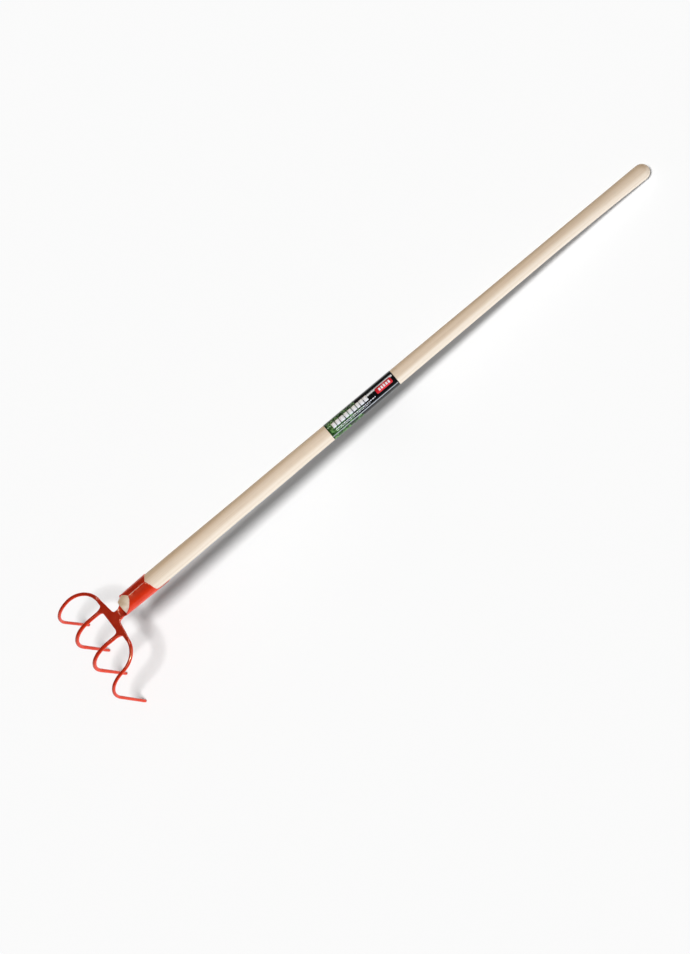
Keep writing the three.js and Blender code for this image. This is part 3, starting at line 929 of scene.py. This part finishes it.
def ink_material(name, full, thin):
    """Printed ink: a screen of slightly uneven tone, nearly as glossy as the film."""
    n = Nodes(name)
    tone = n.grain(n.stretched((900, 900, 900)), 1.0, 3)
    mottled = n.ramp(tone, [(0.35, thin), (0.65, full)])
    relief = n.bump(tone, 0.1, 0.00002)
    return n.finish(Base_Color=mottled, Roughness=n.band(tone, 0.3, 0.7, 0.26, 0.34), Normal=relief)


def title_bars():
    """A row of plain blocks in place of a printed title."""
    draw = random.Random(11)
    gap, least_room, corner = 1.5, 4, 0.9
    bars = []
    x = TITLE_X[0]
    while x < TITLE_X[1] - least_room:
        width = min(draw.uniform(6.5, 11), TITLE_X[1] - x)
        bars.append(rounded_box(x, x + width, *TITLE_ROUND, corner))
        x += width + gap
    return bars


def small_print():
    """Two rows of short dashes in place of the small print."""
    draw = random.Random(5)
    indent, corner = 2, 0.3
    dashes = []
    for v, height, end in SMALL_PRINT_ROWS:
        x = TITLE_X[0] + indent
        while x < end:
            length = draw.uniform(1.6, 5.2)
            dashes.append(rounded_box(x, x + length, v, v + height, corner, 2))
            x += length + draw.uniform(0.9, 1.6)
    return dashes


def badge_marks():
    """Plain blocks across the badge."""
    first, width, pitch, corner = 611, 4.2, 6.2, 0.6
    starts = [first + pitch * i for i in range(5)]
    return [rounded_box(x, x + width, *BADGE_MARK_ROUND, corner) for x in starts]


def make_print():
    """The inks are laid in thin steps, so that no two share a surface."""
    white = ink_material("white_ink", *WHITE_INK)
    leaf_green = ink_material("leaf_green", *LEAF_GREEN_INK)
    leaf_light = ink_material("leaf_light", *LEAF_LIGHT_INK)
    silver_line_and_painted_reflection = ink_material("silver_line_and_painted_reflection", *SILVER_LINE_INK_AND_PAINTED_REFLECTION)
    badge_red = ink_material("badge_red", *BADGE_RED_INK)
    line = rounded_box(SLEEVE_X[0] + 1, SLEEVE_X[1] - 1, *LINE_ROUND, radius=0.4)
    badge = rounded_box(*BADGE_X, *BADGE_ROUND, radius=2.6, steps=6)
    for name, outlines, lift, ink in (
        ("print_leaves_dark", foliage(3, 120, (7, 15)), 0.0, leaf_green),
        ("print_leaves_light", foliage(8, 46, (5, 11)), 0.02, leaf_light),
        # the silver line: printed, with a painted reflection of a lamp in its grey
        ("print_line_and_painted_reflection", [line], 0.03, silver_line_and_painted_reflection),
        ("print_badge", [badge], 0.03, badge_red),
        ("print_title", title_bars(), 0.05, white),
        ("print_small", small_print(), 0.05, white),
        ("print_badge_marks", badge_marks(), 0.07, white),
    ):
        add_piece(name, wrapped(name, outlines, PRINT_LIFT + lift), ink)


make_film()
make_print()


# ---- Fixing nail, under the socket's back tongue ----
STEEL_DARK = (0.30, 0.30, 0.31)
STEEL_LIGHT = (0.50, 0.50, 0.51)


def nail_material():
    n = Nodes("nail_steel")
    dents = n.grain(n.place(), 700.0, 3)
    return n.finish(
        Base_Color=n.ramp(dents, [(0.3, STEEL_DARK), (0.7, STEEL_LIGHT)]),
        Metallic=1.0,
        Roughness=n.band(dents, 0.3, 0.7, 0.3, 0.5),
        Normal=n.bump(dents, 0.3, 0.0001),
    )


def make_nail():
    """Domed head hammered home, with the first part of its shank in the wood."""
    clearance, easing, point_radius, dome_power = 0.3, 0.2, 0.1, 1.2
    dent_depth, dent_spacing = 0.12, 2.5
    ring_size = 40
    seat = -MOUTH_RADIUS - clearance
    profile = []
    for angle in NAIL_DOME_ANGLES:
        dome = (NAIL_HEAD_HEIGHT - NAIL_HEAD_EDGE) * math.sin(math.radians(angle)) ** dome_power
        profile.append((NAIL_HEAD_RADIUS * math.cos(math.radians(angle)), seat - NAIL_HEAD_EDGE - dome))
    profile += [
        (NAIL_HEAD_RADIUS, seat - easing),
        (NAIL_HEAD_RADIUS - easing, seat),
        (NAIL_SHANK_RADIUS, seat),
        (NAIL_SHANK_RADIUS, seat + NAIL_LENGTH - NAIL_POINT_LENGTH),
        (point_radius, seat + NAIL_LENGTH),
    ]
    points = []
    for radius, z in profile:
        centre = Vector((NAIL_X, 0, z))
        for point in ring_round(centre, Vector((1, 0, 0)), Vector((0, 1, 0)), radius, radius, ring_size):
            blow = noise.noise(point / dent_spacing) * dent_depth if z < seat else 0.0
            points.append(point + Vector((0, 0, blow)))
    mesh = mesh_from("fixing_nail", points, tube_faces(len(profile), ring_size))
    add_piece("fixing_nail", mesh, nail_material(), ["socket_nail"])


make_nail()


# ---- Floor and light ----
ROOM_TINT = (1.0, 0.87, 0.72)
ROOM_STRENGTH = 0.30
MIRRORED_STRENGTH = 0.08
BACKDROP = (0.93, 0.93, 0.93)
GLINT = (1.0, 0.95, 0.85)
SUN_DIRECTION = (1.2, 2.55, -9.0)
SUN_WIDTH = 15  # degrees
SUN_STRENGTH = 5.30
SHADOWLESS_STRENGTH = 0.59  # keeps the shadow from going too dark
FLOOR_ALBEDO = tuple(0.46 / tint for tint in ROOM_TINT)  # neutral under the room's warm light

GROUND = linked_collection("ground")
HEAD_ONLY = linked_collection("head", [HEAD])
HANDLE_ONLY = linked_collection("handle_and_label", [piece for piece in TOOL_PIECES.objects if piece != HEAD])


def floor_material():
    n = Nodes("pale_floor")
    return n.finish(Base_Color=FLOOR_ALBEDO, Roughness=0.9, Specular_IOR_Level=0.0)


def make_floor():
    mesh = bpy.data.meshes.new("floor")
    half = 12
    corners = [(-half, -half, 0), (half, -half, 0), (half, half, 0), (-half, half, 0)]
    mesh.from_pydata(corners, [], [(0, 1, 2, 3)])
    mesh.materials.append(floor_material())
    floor = bpy.data.objects.new("floor", mesh)
    GROUND.objects.link(floor)


def add_light(name, kind, direction, strength, colour, lit_only, shadow=True):
    """A light shining in this direction, on one collection only."""
    data = bpy.data.lights.new(name, kind)
    data.energy = strength
    data.color = colour
    data.use_shadow = shadow
    light = bpy.data.objects.new(name, data)
    bpy.context.scene.collection.objects.link(light)
    light.rotation_mode = "QUATERNION"
    light.rotation_quaternion = Vector(direction).to_track_quat("-Z", "X")
    light.light_linking.receiver_collection = lit_only
    return light


def area_light(name, place, aimed_at, size, watts, colour, lit_only, shadow=True):
    light = add_light(name, "AREA", aimed_at - place, watts, colour, lit_only, shadow)
    light.location = place
    light.data.shape = "RECTANGLE"
    light.data.size, light.data.size_y = size
    return light


def make_world():
    """An even warm room, dimmer where it is mirrored and nearly white where it is the backdrop."""
    world = bpy.data.worlds.new("studio")
    world.use_nodes = True
    tree = world.node_tree
    room = tree.nodes["Background"]
    room.inputs["Color"].default_value = (*ROOM_TINT, 1)
    room.inputs["Strength"].default_value = ROOM_STRENGTH
    ray = tree.nodes.new("ShaderNodeLightPath")
    mirrored = tree.nodes.new("ShaderNodeBackground")
    mirrored.inputs["Strength"].default_value = MIRRORED_STRENGTH
    backdrop = tree.nodes.new("ShaderNodeBackground")
    backdrop.inputs["Color"].default_value = (*BACKDROP, 1)
    shared = room.outputs[0]
    for kind, seen in (("Is Glossy Ray", mirrored), ("Is Camera Ray", backdrop)):
        either = tree.nodes.new("ShaderNodeMixShader")
        tree.links.new(ray.outputs[kind], either.inputs[0])
        tree.links.new(shared, either.inputs[1])
        tree.links.new(seen.outputs[0], either.inputs[2])
        shared = either.outputs[0]
    tree.links.new(shared, tree.nodes["World Output"].inputs["Surface"])
    bpy.context.scene.world = world


def light_tool():
    """Soft light that shapes the handle and the head, each by its own lamps, and isn't mirrored."""
    middle = to_frame((580, 0, 0))
    for name, offset, size, watts, colour, lit_only, shadow in (
        ("handle_side", (0, -2.6, 0.46), (3.6, 0.8), 57, (0.78, 1.02, 1.38), HANDLE_ONLY, False),
        ("handle_top", (0, -0.78, 2.9), (2.4, 0.8), 30, ROOM_TINT, HANDLE_ONLY, True),
        ("head_side", (0, -2.6, 0.1), (3.6, 0.8), 66, (0.90, 0.985, 1.10), HEAD_ONLY, False),
        ("head_far_side", (0, 2.4, 0.64), (1.5, 0.7), 15, (1.0, 0.88, 0.70), HEAD_ONLY, True),
    ):
        light = area_light(name, middle + Vector(offset), middle, size, watts, colour, lit_only, shadow)
        light.visible_glossy = False


def add_highlights():
    """Lights that show only as highlights: along the whole tool, then on a tine and the seam."""
    middle = to_frame((580, 0, 0))
    head = to_frame((CROSSBAR_X, 0, 0))
    lamp = to_frame((830, 1150, 2080))
    highlights = [area_light("streak", lamp, middle, (1.5, 0.42), 34, (1.0, 0.98, 0.96), TOOL_PIECES)]
    for name, direction, distance, size, watts in (
        ("tine_glint", (0.37, -0.29, 0.885), 3.0, (0.8, 0.8), 270),
        ("seam_glint", (-0.1, 0.10, 0.99), 2.6, (0.5, 0.3), 8),
    ):
        place = head + TOOL.to_3x3() @ Vector(direction).normalized() * distance
        highlights.append(area_light(name, place, head, size, watts, GLINT, HEAD_ONLY))
    for light in highlights:
        light.visible_diffuse = False


def light_floor():
    """Parallel light, soft as a wide lamp far away, so that the floor is evenly pale."""
    for name, strength, shadow in (
        ("overhead", SUN_STRENGTH, True),
        ("floor_fill", SHADOWLESS_STRENGTH, False),
    ):
        light = add_light(name, "SUN", SUN_DIRECTION, strength, ROOM_TINT, GROUND, shadow)
        light.data.angle = math.radians(SUN_WIDTH)


make_floor()
make_world()
light_tool()
add_highlights()
light_floor()
bpy.context.scene.view_settings.view_transform = "Standard"
bpy.context.scene.view_settings.look = "None"
